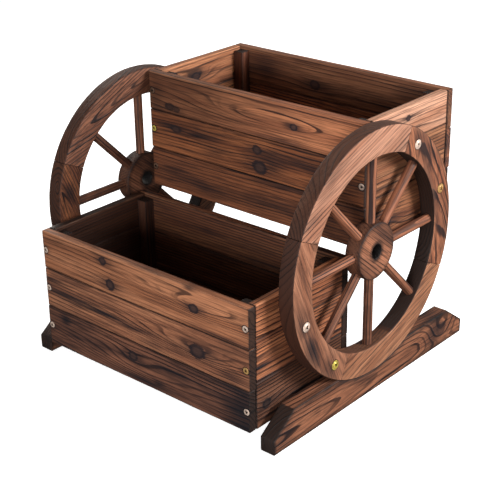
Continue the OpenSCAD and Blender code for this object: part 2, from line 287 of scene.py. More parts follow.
    # painted shade: near black inside each listed hole, for screw and bolt recesses and the hub bore
    for (hl, hu, hr) in hole_shade:
        a, b = g.m("SUBTRACT", L, hl), g.m("SUBTRACT", U, hu)
        d = g.m("SQRT", g.m("ADD", g.m("MULTIPLY", a, a), g.m("MULTIPLY", b, b)))
        col = g.mix(g.smooth(d, hr + 0.0016, hr + 0.0002, 0.0, 0.97), col, srgb(16, 11, 10))
    g.put(g.bsdf.inputs["Base Color"], col)
    g.put(g.bsdf.inputs["Roughness"], g.m("MULTIPLY_ADD", fib, 0.22, g.m("MULTIPLY_ADD", lt, -0.12, rough - 0.08)))
    g.bsdf.inputs["Specular IOR Level"].default_value = 0.35
    hgt = g.m("ADD", g.m("MULTIPLY", lt, 0.75), g.m("MULTIPLY", fib, 0.40))
    hgt = g.m("MULTIPLY_ADD", strk, -0.35, hgt)
    b = g.nt.nodes.new("ShaderNodeBump")
    b.inputs["Strength"].default_value = 0.8
    b.inputs["Distance"].default_value = bump
    g.put(b.inputs["Height"], hgt)
    g.put(g.bsdf.inputs["Normal"], b.outputs[0])
    return g.mat


def metal(name, color, dark, rough=0.32):
    g = Graph(name)
    tc = g.nt.nodes.new("ShaderNodeTexCoord").outputs["Object"]
    n1 = g.noise(tc, (900.0, 900.0, 900.0), (0, 0, 0), 3.0, 0.6)
    n2 = g.noise(tc, (220.0, 220.0, 220.0), (3, 1, 7), 2.0)
    col = g.mix(g.smooth(n2, 0.48, 0.70, 0.0, 0.55), color, dark)
    # painted shade in the drive recesses
    recess_shade = g.attr("edge")
    col = g.mix(g.m("MULTIPLY", recess_shade, 0.9), col, dark)
    g.put(g.bsdf.inputs["Base Color"], col)
    g.bsdf.inputs["Metallic"].default_value = 0.42
    g.put(g.bsdf.inputs["Roughness"], g.m("MULTIPLY_ADD", n1, 0.25, rough - 0.1))
    b = g.nt.nodes.new("ShaderNodeBump")
    b.inputs["Strength"].default_value = 0.25
    b.inputs["Distance"].default_value = 0.0001
    g.put(b.inputs["Height"], n1)
    g.put(g.bsdf.inputs["Normal"], b.outputs[0])
    return g.mat


# ---------------------------------------------------------------- mesh helpers
def to_object(bm, name):
    bmesh.ops.recalc_face_normals(bm, faces=bm.faces[:])
    me = bpy.data.meshes.new(name)
    bm.to_mesh(me)
    bm.free()
    ob = bpy.data.objects.new(name, me)
    scene.collection.objects.link(ob)
    return ob


def wobble(bm, amp, seed, freq=(28.0, 28.0, 28.0)):
    bm.normal_update()
    off = Vector((seed * 1.7, seed * 3.1, seed * 0.9))
    moves = []
    for v in bm.verts:
        p = Vector((v.co.x * freq[0], v.co.y * freq[1], v.co.z * freq[2])) + off
        moves.append(v.normal * (noise.noise(p) * amp + noise.noise(p * 4.3) * amp * 0.45))
    for v, d in zip(bm.verts, moves):
        v.co += d


def add_box(bm, lo, hi, bevel, steps):
    """A box with rounded edges, cut into cells of the given step along each axis."""
    b = bmesh.new()
    bmesh.ops.create_cube(b, size=1.0)
    size, mid = hi - lo, (hi + lo) / 2
    for v in b.verts:
        v.co = Vector((v.co[i] * size[i] + mid[i] for i in range(3)))
    bmesh.ops.bevel(b, geom=b.edges[:], offset=bevel, segments=3, profile=0.5, affect="EDGES")
    for ax in range(3):
        n = max(1, round(size[ax] / steps[ax]))
        cuts = [lo[ax] + size[ax] * k / n for k in range(1, n)]
        if size[ax] > 6 * bevel:
            cuts += [lo[ax] + 2.4 * bevel, hi[ax] - 2.4 * bevel]
        no = Vector((0, 0, 0))
        no[ax] = 1.0
        for c in cuts:
            co = mid.copy()
            co[ax] = c
            bmesh.ops.bisect_plane(b, geom=b.verts[:] + b.edges[:] + b.faces[:], dist=1e-7, plane_co=co, plane_no=no)
    me = bpy.data.meshes.new("tmp")
    b.to_mesh(me)
    b.free()
    bm.from_mesh(me)
    bpy.data.meshes.remove(me)


def boolean(ob, cutter, keep=False):
    mod = ob.modifiers.new("cut", "BOOLEAN")
    mod.operation = "DIFFERENCE"
    mod.solver = "EXACT"
    mod.object = cutter
    dg = bpy.context.evaluated_depsgraph_get()
    me = bpy.data.meshes.new_from_object(ob.evaluated_get(dg))
    ob.modifiers.clear()
    old = ob.data
    ob.data = me
    bpy.data.meshes.remove(old)
    if not keep:
        drop(cutter)


def drop(ob):
    me = ob.data
    bpy.data.objects.remove(ob)
    bpy.data.meshes.remove(me)


def lathe(bm, profile, n, frame3):
    """Revolve (radius, height) points about the z axis of frame3. The ends close on the axis where radius is 0."""
    rows = []
    for (r, h) in profile:
        if r < 1e-9:
            rows.append([bm.verts.new(frame3 @ Vector((0, 0, h)))])
        else:
            rows.append([bm.verts.new(frame3 @ Vector((r * math.cos(2 * math.pi * k / n), r * math.sin(2 * math.pi * k / n), h))) for k in range(n)])
    for a, b in zip(rows, rows[1:]):
        for k in range(n):
            k2 = (k + 1) % n
            if len(a) == 1 and len(b) == 1:
                continue
            if len(a) == 1:
                bm.faces.new((a[0], b[k], b[k2]))
            elif len(b) == 1:
                bm.faces.new((a[k], b[0], a[k2]))
            else:
                bm.faces.new((a[k], b[k], b[k2], a[k2]))
    return rows


def basis(origin, z_dir, x_dir=None):
    z = Vector(z_dir).normalized()
    x = Vector(x_dir) if x_dir is not None else (Vector((0, 0, 1)) if abs(z.z) < 0.9 else Vector((1, 0, 0)))
    x = (x - z * x.dot(z)).normalized()
    y = z.cross(x)
    o = Vector(origin)
    return Matrix(((x.x, y.x, z.x, o.x), (x.y, y.y, z.y, o.y), (x.z, y.z, z.z, o.z), (0, 0, 0, 1)))


def stamp(ob, fn):
    """fn(point) gives (grain coordinates, edge, end grain, cut face) for the mesh attributes; edge, end grain and cut
    face also carry painted highlights and painted shade.
    """
    me = ob.data
    me.attributes.new("gc", "FLOAT_VECTOR", "POINT")
    me.attributes.new("edge", "FLOAT", "POINT")
    me.attributes.new("end_grain_and_shade", "FLOAT", "POINT")
    me.attributes.new("cut_face_and_shade", "FLOAT", "POINT")
    a, b, c, d = [], [], [], []
    for v in me.vertices:
        got = fn(v.co)
        a.extend(got[0])
        b.append(got[1])
        c.append(got[2])
        d.append(got[3] if len(got) > 3 else 0.0)
    me.attributes["gc"].data.foreach_set("vector", a)
    me.attributes["edge"].data.foreach_set("value", b)
    me.attributes["end_grain_and_shade"].data.foreach_set("value", c)
    me.attributes["cut_face_and_shade"].data.foreach_set("value", d)


def finish_piece(ob, mat, slot, *nodes, smooth=True):
    me = ob.data
    for v in me.vertices:
        v.co = Vector((min(max(v.co[i], cad_box[0][i]), cad_box[1][i]) for i in range(3)))
    me.materials.clear()
    me.materials.append(mat)
    if smooth:
        me.shade_smooth()
        me.set_sharp_from_angle(angle=math.radians(38))
    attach(ob, "root")
    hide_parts(*nodes)
    return ob


def box_stamp(boxes, ax_l, ax_u, pith, tilt, shift, bevel, inside=None, lit_top_arris=False):
    """Grain coordinates for one or more boards. pith = (u0, v0), tilt = (du/dl, dv/dl), shift moves along l."""
    ax_v = 3 - ax_l - ax_u

    def fn(p):
        best = None
        for k, (lo, hi) in enumerate(boxes):
            d = max(max(lo[i] - p[i], p[i] - hi[i]) for i in range(3))
            if best is None or d < best[0]:
                best = (d, k)
        lo, hi = boxes[best[1]]
        mid = (lo + hi) / 2
        l, u, v = (p[ax_l] - mid[ax_l], p[ax_u] - mid[ax_u], p[ax_v] - mid[ax_v])
        dist = sorted(min(p[i] - lo[i], hi[i] - p[i]) for i in range(3))
        e = max(0.0, min(1.0, 1.15 - dist[1] / (bevel * 0.95)))
        # painted highlight on the upper arris of the top boards, away from their ends
        if lit_top_arris and u > 0 and hi[ax_l] - mid[ax_l] - abs(l) > 0.002:
            e = -e
        end = 1.0 if (hi[ax_l] - lo[ax_l]) / 2 - abs(l) < bevel * 0.45 else 0.0
        s = best[1] * 0.37
        # painted shade on the boards' inside faces
        inner_face_shaded = inside is not None and (p[ax_v] - mid[ax_v]) * inside > (hi[ax_v] - lo[ax_v]) / 2 - bevel * 1.2
        return (l + shift + s, u + pith[0] + tilt[0] * l + s * 0.05, v + pith[1] + tilt[1] * l), e, end, (0.75 if inner_face_shaded else 0.0)
    return fn


# ---------------------------------------------------------------- sizes shared with the CAD
SCREW_IN = 0.0066
HEAD_R = 0.0047
cutters = []


def screw_cutter(points):
    """Countersunk recesses: points are (position on the face, direction into the wood)."""
    bm = bmesh.new()
    for p, d in points:
        lathe(bm, [(0, -0.002), (HEAD_R + 0.0003, -0.002), (HEAD_R + 0.0003, 0.0006), (0.0022, 0.0034), (0.0022, 0.012), (0, 0.012)], 32, basis(p, d))
    return to_object(bm, "cutter")


# fine per-board settings: pith (u0, v0), tilt, and the material's own settings. Lengths in metres, l and u from the
# board's middle.
# the four-number ramp on the front boards is painted light along their length
FRONT = {
    "upper_front_plank_top": dict(grad4=(-0.12, 0.12, 0.62, 1.72), pith=(0.030, 0.045), tilt=(0.0, 0.010), early=srgb(168, 104, 68), early2=srgb(142, 84, 54), spacing=0.0050, smoke=0.22, late_w=0.22, contrast=0.8, fade_lo=0.15, streaks=0.25,
                                  knots=[(0.042, -0.002, 0.040, 0.0090, 0.024, 0.0), (0.080, -0.001, 0.0060, 0.0046, 0.002, 1.0), (-0.161, -0.019, 0.009, 0.0050, 0.0015, 0.6), (-0.147, -0.021, 0.006, 0.004, 0.001, 0.5)],
                                  patches=[(-0.19, -0.01, 0.016, 0.03, 0.55), (0.05, -0.026, 0.06, 0.003, 0.5)]),
    "upper_front_plank_middle": dict(grad4=(-0.12, 0.15, 0.95, 1.20), pith=(-0.045, 0.040), tilt=(0.0, 0.02), early=srgb(158, 92, 54), early2=srgb(120, 66, 38), spacing=0.0040, smoke=0.75, late_w=0.36,
                                     knots=[(0.012, 0.011, 0.0080, 0.0062, 0.003, 0.75), (0.017, -0.015, 0.0120, 0.0090, 0.004, 0.9), (-0.150, 0.008, 0.010, 0.005, 0.002, 0.6)],
                                     patches=[(-0.155, 0.010, 0.028, 0.006, 1.0), (-0.10, 0.008, 0.03, 0.004, 0.8), (0.02, -0.015, 0.03, 0.010, 0.5)]),
    "upper_front_plank_bottom": dict(pith=(-0.055, 0.040), tilt=(0.0, 0.02), early=srgb(140, 80, 48), early2=srgb(106, 60, 36), spacing=0.0042, smoke=0.6, late_w=0.36, patches=[(-0.15, 0.0, 0.06, 0.02, 0.45)]),
    "lower_front_plank_top": dict(grad4=(-0.12, 0.15, 1.08, 1.30), pith=(0.045, 0.035), tilt=(0.0, 0.015), early=srgb(172, 110, 74), early2=srgb(148, 90, 58), spacing=0.0054, smoke=0.25, late_w=0.22, contrast=0.62, fade_lo=0.15, streaks=0.25,
                                  knots=[(-0.071, 0.018, 0.0065, 0.0056, 0.002, 0.9), (-0.058, -0.015, 0.0080, 0.0072, 0.003, 1.0), (0.102, 0.000, 0.0080, 0.0060, 0.003, 1.0), (0.110, 0.003, 0.030, 0.0078, 0.019, 0.0)],
                                  patches=[(0.095, 0.027, 0.010, 0.003, 1.0), (0.155, -0.026, 0.05, 0.003, 0.8)]),
    "lower_front_plank_middle": dict(grad4=(-0.15, 0.15, 1.12, 1.10), pith=(0.040, 0.032), tilt=(0.0, 0.030), early=srgb(172, 111, 76), early2=srgb(142, 87, 59), spacing=0.0046, smoke=0.45, late_w=0.26, contrast=0.75, fade_lo=0.2,
                                     knots=[(0.106, -0.002, 0.0130, 0.0095, 0.006, 1.0), (0.085, -0.002, 0.030, 0.0080, 0.016, 0.0)],
                                     patches=[(-0.15, -0.002, 0.045, 0.0032, 1.3), (-0.075, -0.005, 0.045, 0.0036, 1.3), (-0.02, -0.009, 0.03, 0.003, 0.9), (0.106, -0.002, 0.026, 0.013, 0.6), (-0.19, 0.014, 0.025, 0.004, 0.8), (0.17, -0.02, 0.03, 0.008, 0.6)]),
    "lower_front_plank_bottom": dict(pith=(0.034, 0.030), tilt=(0.0, 0.030), early=srgb(138, 86, 61), early2=srgb(102, 63, 46), spacing=0.0043, smoke=0.75, late_w=0.36,
                                     knots=[(-0.019, 0.008, 0.0085, 0.0072, 0.004, 0.9), (0.000, -0.010, 0.036, 0.0090, 0.016, 0.0)],
                                     patches=[(-0.160, 0.017, 0.010, 0.009, 1.0), (0.190, 0.0, 0.038, 0.045, 1.15), (0.0, -0.025, 0.05, 0.005, 1.0), (0.06, 0.010, 0.05, 0.006, 0.7), (0.03, -0.018, 0.012, 0.006, 0.9)]),
}
# spots: knots given by their place in the row frame, (along, up, half length, half width, lift, darkness)
# a smaller inside darkening on a board lessens the painted shade on its inside face
SIDES = {
    "upper_right_plank_top": dict(gain=1.10, pith=(0.03, 0.05), early=srgb(208, 150, 116), early2=srgb(186, 124, 90), spacing=0.0040, smoke=0.15, contrast=0.7, late_w=0.22, spots=[(0.105, 0.373, 0.005, 0.004, 0.002, 0.8)]),
    "upper_right_plank_middle": dict(pith=(0.04, 0.035), early=srgb(176, 116, 78), early2=srgb(142, 86, 56), spacing=0.0042, smoke=0.4, late_w=0.30),
    "upper_right_plank_bottom": dict(pith=(-0.03, 0.035), early=srgb(160, 100, 64), early2=srgb(122, 70, 44), spacing=0.0044, smoke=0.7, late_w=0.36, spots=[(0.06, 0.232, 0.010, 0.008, 0.010, 0.9)]),
    "upper_left_plank_top": dict(cut_and_shade_dark=0.15, gain=0.95, pith=(0.018, 0.035), early=srgb(212, 138, 92), early2=srgb(160, 94, 58), spacing=0.0042, smoke=0.35, contrast=0.85, late_w=0.30, spots=[(0.097, 0.363, 0.010, 0.006, 0.008, 0.95)]),
    "upper_left_plank_middle": dict(cut_and_shade_dark=0.5, pith=(0.03, 0.03), early=srgb(190, 118, 72), early2=srgb(140, 80, 48), spacing=0.0044, smoke=0.6, contrast=0.9),
    # the lower left boards' low gains are painted shade inside the lower box
    "lower_left_plank_top": dict(gain=0.25, fade_lo=0.8, pith=(0.06, 0.018), early=srgb(150, 94, 62), early2=srgb(116, 68, 44), spacing=0.0045, smoke=0.35, contrast=0.95, late_w=0.42),
    "lower_left_plank_middle": dict(gain=0.22, fade_lo=0.8, pith=(-0.06, 0.018), early=srgb(150, 94, 62), early2=srgb(116, 68, 44), spacing=0.0045, smoke=0.4, contrast=0.95, late_w=0.42),
    "lower_left_plank_bottom": dict(gain=0.24, fade_lo=0.8, pith=(0.05, 0.025), early=srgb(150, 94, 62), early2=srgb(116, 68, 44), spacing=0.0045, smoke=0.4, contrast=0.9),
    "lower_back_plank_top": dict(gain=1.15, fade_lo=0.7, pith=(0.05, 0.020), early=srgb(158, 100, 64), early2=srgb(120, 70, 44), spacing=0.0045, smoke=0.5, contrast=0.95, late_w=0.42, patches=[(0.06, -0.02, 0.05, 0.004, 0.9), (-0.05, 0.0, 0.04, 0.003, 0.7)]),
    "lower_back_plank_middle": dict(gain=1.15, fade_lo=0.7, pith=(-0.05, 0.020), early=srgb(158, 100, 64), early2=srgb(120, 70, 44), spacing=0.0045, smoke=0.6, contrast=0.95, late_w=0.42),
    # the upper back boards' high gains are painted light inside the upper box
    "upper_back_plank_top": dict(end_and_shade_dark=0.45, gain=1.62, pith=(0.032, 0.040), early=srgb(150, 96, 64), early2=srgb(124, 76, 50), spacing=0.0048, smoke=0.3, contrast=0.75, late_w=0.24, cut_and_shade_dark=0.5, spots=[(-0.038, 0.352, 0.009, 0.007, 0.004, 0.95)],
                                 patches=[(-0.14, 0.0, 0.03, 0.02, 0.7)]),
    "upper_back_plank_middle": dict(end_and_shade_dark=0.45, gain=3.4, pith=(0.004, 0.022), tilt=(0.0, 0.05), early=srgb(140, 84, 52), early2=srgb(106, 60, 36), spacing=0.0046, smoke=0.8, contrast=1.0, late_w=0.45, cut_and_shade_dark=0.5),
    # the lower right boards' gains, lowest on the bottom board, are painted shade from the wheel
    "lower_right_plank_top": dict(gain=0.93, fade_lo=0.5, pith=(0.045, 0.035), early=srgb(200, 122, 78), early2=srgb(156, 90, 56), spacing=0.0043, smoke=0.3, contrast=1.0, late_w=0.30),
    "lower_right_plank_middle": dict(gain=0.96, fade_lo=0.5, pith=(0.040, 0.030), early=srgb(200, 122, 78), early2=srgb(152, 88, 56), spacing=0.0043, smoke=0.4, contrast=1.0, patches=[(-0.085, -0.010, 0.02, 0.003, 1.2), (-0.09, 0.004, 0.03, 0.0025, 0.9)]),
    "lower_right_plank_bottom": dict(gain=0.50, fade_lo=0.4, contrast=1.0, pith=(0.030, 0.030), tilt=(0.0, 0.03), early=srgb(164, 104, 72), early2=srgb(130, 78, 52), spacing=0.0040, smoke=0.5, spots=[(-0.195, 0.055, 0.0075, 0.0065, 0.005, 0.95)]),
}

seed = 1.0
AX = {"front": (0, 2), "back": (0, 2), "left": (1, 2), "right": (1, 2)}
for tier in ("lower", "upper"):
    for wall in ("front", "back", "left", "right"):
        for lvl in ("bottom", "middle", "top"):
            node = f"{tier}_{wall}_plank_{lvl}"
            lo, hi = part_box(node)
            seed += 1.0
            ax_l, ax_u = AX[wall]
            steps = [0.011] * 3
            steps[ax_l] = 0.0075
            bm = bmesh.new()
            if wall in ("front", "back"):
                j = int(seed) * 7 % 5
                lo.x += (0.0004, 0.0015, 0.0, 0.0011, 0.0007)[j]
                hi.x -= (0.0012, 0.0, 0.0008, 0.0003, 0.0014)[j]
            add_box(bm, lo, hi, 0.0016, steps)
            fr = [24.0] * 3
            fr[ax_l] = 11.0
            wobble(bm, 0.00030, seed, fr)
            ob = to_object(bm, "vis_" + node)
            if wall in ("front", "back"):
                zc = {"bottom": 0.031, "middle": 0.0928, "top": 0.1533}[lvl] + (0.024 if tier == "lower" else 0.207)
                y = lo.y if wall == "front" else hi.y
                d = (0, 1, 0) if wall == "front" else (0, -1, 0)
                xs = 0.199 if tier == "lower" else 0.2045
                boolean(ob, screw_cutter([((s * (xs - SCREW_IN), y, zc), d) for s in (-1, 1)]))
            cfg = dict(FRONT.get(node) or SIDES.get(node) or {})
            k = int(seed)
            pith = cfg.pop("pith", (((k * 37) % 11 - 5) * 0.006, 0.028 + ((k * 53) % 7) * 0.006))
            tilt = cfg.pop("tilt", (0.0, (((k * 29) % 7) - 3) * 0.012))
            shift = seed * 0.61
            U0, KU = pith[0], tilt[0]
            cfg["knots"] = [(l + shift, u + U0 + KU * l, a, b, h, c) for (l, u, a, b, h, c) in cfg.get("knots", ())]
            cfg["patches"] = [(l + shift, u + U0 + KU * l, a, b, s) for (l, u, a, b, s) in cfg.get("patches", ())]
            if wall in ("front", "back"):
                # painted shadow: a dark halo round each screw head, and painted shade in its recess
                for sx in (-1, 1):
                    xl = sx * (xs - SCREW_IN) - (lo.x + hi.x) / 2
                    cfg["patches"].append((xl + shift, U0 + KU * xl, 0.0075, 0.0075, 0.55))
                    cfg.setdefault("hole_shade", []).append((xl + shift, U0 + KU * xl, HEAD_R))
            for (ky, kz, a, b, h, c) in cfg.pop("spots", ()):
                kl, ku = ky - (lo[ax_l] + hi[ax_l]) / 2, kz - (lo.z + hi.z) / 2
                cfg["knots"].append((kl + shift, ku + U0 + KU * kl, a, b, h, c))
            # painted light ramp along the board
            g4 = cfg.pop("grad4", None)
            if g4:
                cfg["grad"] = (g4[0] + shift, g4[1] + shift, g4[2], g4[3])
            if "early" not in cfg:
                t = ((k * 41) % 9) / 9.0
                cfg["early"] = srgb(150 + 26 * t, 90 + 20 * t, 56 + 14 * t)
                cfg["early2"] = srgb(118 + 26 * t, 66 + 18 * t, 40 + 12 * t)
                cfg.setdefault("smoke", 0.35 + 0.4 * (((k * 17) % 5) / 5.0))
                if not cfg["knots"] and k % 2 == 0:
                    kl = (((k * 23) % 13) / 13.0 - 0.5) * (hi[ax_l] - lo[ax_l]) * 0.7
                    ku = (((k * 31) % 5) - 2) * 0.006
                    cfg["knots"] = [(kl + shift, ku + U0 + KU * kl, 0.008, 0.006, 0.006, 0.85)]
            ins = {"front": 1, "back": -1, "left": 1, "right": -1}[wall]
            stamp(ob, box_stamp([(lo, hi)], ax_l, ax_u, pith, tilt, shift, 0.0016, ins, lvl == "top"))
            finish_piece(ob, wood("wood_" + node, seed, **cfg), "fir_plank", node)

# ---------------------------------------------------------------- posts and floors
inner_a = wood("wood_post", 31.0, gain=0.62, spacing=0.0030, early=srgb(150, 84, 54), early2=srgb(108, 60, 40), smoke=0.6)
inner_b = wood("wood_floor", 37.0, gain=0.80, spacing=0.0038, early=srgb(130, 80, 52), early2=srgb(98, 58, 38), smoke=0.6)
# shaded copy of the post wood: painted shade inside the lower box
post_lower_shaded = wood("wood_post_lower_shaded", 33.0, gain=0.40, spacing=0.0030, early=srgb(140, 84, 56), early2=srgb(104, 60, 40), smoke=0.6)
for tier in ("lower", "upper"):
    for corner in ("front_left", "front_right", "back_left", "back_right"):
        node = f"{tier}_post_{corner}"
        lo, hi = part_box(node)
        seed += 1.0
        bm = bmesh.new()
        add_box(bm, lo, hi, 0.0010, (0.006, 0.006, 0.008))
        wobble(bm, 0.00022, seed, (30, 30, 12))
        ob = to_object(bm, "vis_" + node)
        stamp(ob, box_stamp([(lo, hi)], 2, 0, (0.013 + 0.002 * (seed % 5), 0.016), (0.02, 0.0), seed * 0.4, 0.0010))
        finish_piece(ob, inner_a if tier == "upper" else post_lower_shaded, "fir_inner", node)
    node = f"{tier}_floor_battens"
    lo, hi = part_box(node)
    w = hi.z - lo.z
    boxes = [(lo, Vector((lo.x + w, hi.y, hi.z))), (Vector((hi.x - w, lo.y, lo.z)), hi)]
    bm = bmesh.new()
    for b in boxes:
        add_box(bm, b[0], b[1], 0.0008, (0.007, 0.010, 0.007))
    wobble(bm, 0.0002, seed + 50, (30, 12, 30))
    ob = to_object(bm, "vis_" + node)
    stamp(ob, box_stamp(boxes, 1, 2, (0.02, 0.02), (0.0, 0.01), seed * 0.3, 0.0008))
    finish_piece(ob, inner_b, "fir_inner", node)
    node = f"{tier}_floor_slats"
    lo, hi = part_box(node)
    gap = 0.006
    w = (hi.y - lo.y - 2 * gap) / 3
    boxes = [(Vector((lo.x, lo.y + k * (w + gap), lo.z)), Vector((hi.x, lo.y + k * (w + gap) + w, hi.z))) for k in range(3)]
    bm = bmesh.new()
    for b in boxes:
        add_box(bm, b[0], b[1], 0.0010, (0.010, 0.010, 0.010))
    wobble(bm, 0.00025, seed + 70, (12, 30, 30))
    ob = to_object(bm, "vis_" + node)
    stamp(ob, box_stamp(boxes, 0, 1, (0.01, 0.03), (0.0, 0.03), seed * 0.3, 0.0010))
    finish_piece(ob, inner_b, "fir_inner", node)

# ---------------------------------------------------------------- wheels
YC, ZC, HUB_UP = -0.003, 0.2135, 0.004
RO, RI, T = 0.180, 0.1405, 0.024
X0 = 0.209
HUB_R, BORE_R, SPOKE_R, SOCKET = 0.041, 0.010, 0.00675, 0.012
JOINT = 65.5
BOLTS = [(18, 1), (56, 1), (198, 0), (236, 0)]
BOLT_R = RI + (RO - RI) / 2


def reach(r, a):
    return math.sqrt(r * r - (HUB_UP * math.cos(a)) ** 2) - HUB_UP * math.sin(a)


def spoke_ends(a):
    return HUB_R - SOCKET, reach(RI, a) + SOCKET


def wheel_point(side, r, a, x, zc=ZC):
    return Vector((side * (X0 + x), YC + r * math.cos(a), zc + r * math.sin(a)))


def rounded_rect(r0, r1, x0, x1, b, nr, nx):
    """Closed loop of (r, x) with rounded corners and extra points along its sides."""
    pts = []
    corners = [(r1 - b, x0 + b, -90), (r1 - b, x1 - b, 0), (r0 + b, x1 - b, 90), (r0 + b, x0 + b, 180)]
    for i, (cr, cx, a0) in enumerate(corners):
        for k in range(4):
            t = math.radians(a0 + 30 * k)
            pts.append((cr + b * math.cos(t), cx + b * math.sin(t)))
        nr_, nx_, _ = corners[(i + 1) % 4]
        t = math.radians(a0 + 90)
        p = (cr + b * math.cos(t), cx + b * math.sin(t))
        q = (nr_ + b * math.cos(t), nx_ + b * math.sin(t))
        n = nx if i % 2 == 0 else nr
        for k in range(1, n):
            pts.append((p[0] + (q[0] - p[0]) * k / n, p[1] + (q[1] - p[1]) * k / n))
    return pts


def felloe_mesh(side, a_start, step_in, step_out, sd):
    bm = bmesh.new()
    b = 0.0011
    g = 0.00012 / RO
    a0, a1 = math.radians(a_start) + g, math.radians(a_start + 90) - g
    n = 64
    angles = [a0, a0 + 0.0022] + [a0 + (a1 - a0) * k / n for k in range(1, n)] + [a1 - 0.0022, a1]
    rings = []
    for i, a in enumerate(angles):
        s = (a - a0) / (a1 - a0)
        ri = RI + step_in * max(0.0, 1 - s * 5) ** 2 + step_out * max(0.0, 1 - (1 - s) * 5) ** 2
        end = i in (0, len(angles) - 1)
        c = 0.0005 if end else 0.0
        loop = rounded_rect(ri + c, RO - c, c, T - c, b, 5, 4)
        rings.append([bm.verts.new(wheel_point(side, r, a, x)) for (r, x) in loop])
    m = len(rings[0])
    for p, q in zip(rings, rings[1:]):
        for k in range(m):
            k2 = (k + 1) % m
            bm.faces.new((p[k], q[k], q[k2], p[k2]))
    bm.faces.new(rings[0])
    bm.faces.new(rings[-1])
    bmesh.ops.recalc_face_normals(bm, faces=bm.faces[:])
    wobble(bm, 0.00028, sd, (16, 22, 22))
    return bm


def wheel_cutter(side):
    bm = bmesh.new()
    for k in range(8):
        a = math.radians(45 * k)
        d = Vector((0, math.cos(a), math.sin(a)))
        r0, r1 = spoke_ends(a)
        o = Vector((side * (X0 + T / 2), YC, ZC + HUB_UP)) + d * r0
        lathe(bm, [(0, -0.0004), (SPOKE_R + 0.00015, -0.0004), (SPOKE_R + 0.00015, r1 - r0 + 0.0004), (0, r1 - r0 + 0.0004)], 40, basis(o, d))
    for deg, _ in BOLTS:
        a = math.radians(deg)
        o = wheel_point(side, BOLT_R, a, -0.004)
        lathe(bm, [(0, 0), (0.0031, 0), (0.0031, T + 0.008), (0, T + 0.008)], 24, basis(o, (side, 0, 0)))
    return to_object(bm, "wheel_cutter")


FELLOE = {
    "upper_front": dict(gain=1.12, early=srgb(184, 128, 98), early2=srgb(158, 102, 74), spacing=0.0040, smoke=0.2, contrast=0.50, late_w=0.30, streaks=0.3, fade_lo=0.1),
    "lower_front": dict(gain=0.93, early=srgb(172, 112, 80), early2=srgb(144, 88, 60), spacing=0.0052, smoke=0.25, contrast=0.35, late_w=0.24, streaks=0.25, fade_lo=0.1),
    "lower_back": dict(gain=0.98, early=srgb(176, 116, 80), early2=srgb(146, 90, 60), spacing=0.0042, smoke=0.35, contrast=0.85, late_w=0.28, fade_lo=0.2),
    "upper_back": dict(gain=1.02, early=srgb(170, 104, 70), early2=srgb(132, 76, 50), spacing=0.0050, smoke=0.75, contrast=1.0, late_w=0.40, wob1=0.006, wob2=0.0022, fade_lo=0.4),
}
# left wheel: the low gains are painted shade on the side turned towards the boxes
FELLOE_L_SHADED = {
    "upper_front": dict(gain=0.52, early=srgb(172, 108, 76), early2=srgb(138, 82, 56), spacing=0.0046, smoke=0.45, contrast=1.0, late_w=0.34, wob1=0.005, wob2=0.0018, fade_lo=0.4),
    "lower_front": dict(gain=0.48, early=srgb(176, 104, 62), early2=srgb(132, 74, 46), spacing=0.0040, smoke=0.9, contrast=1.0, late_w=0.42, wob1=0.006, wob2=0.0024),
    "lower_back": dict(gain=0.62, early=srgb(170, 108, 72), early2=srgb(140, 84, 54), spacing=0.0034, smoke=0.45, contrast=0.85, late_w=0.34),
    "upper_back": dict(gain=0.66, early=srgb(166, 98, 60), early2=srgb(128, 70, 42), spacing=0.0042, smoke=0.6, contrast=0.9, late_w=0.40, wob1=0.005, wob2=0.0015),
}
NAMES = ["upper_front", "lower_front", "lower_back", "upper_back"]
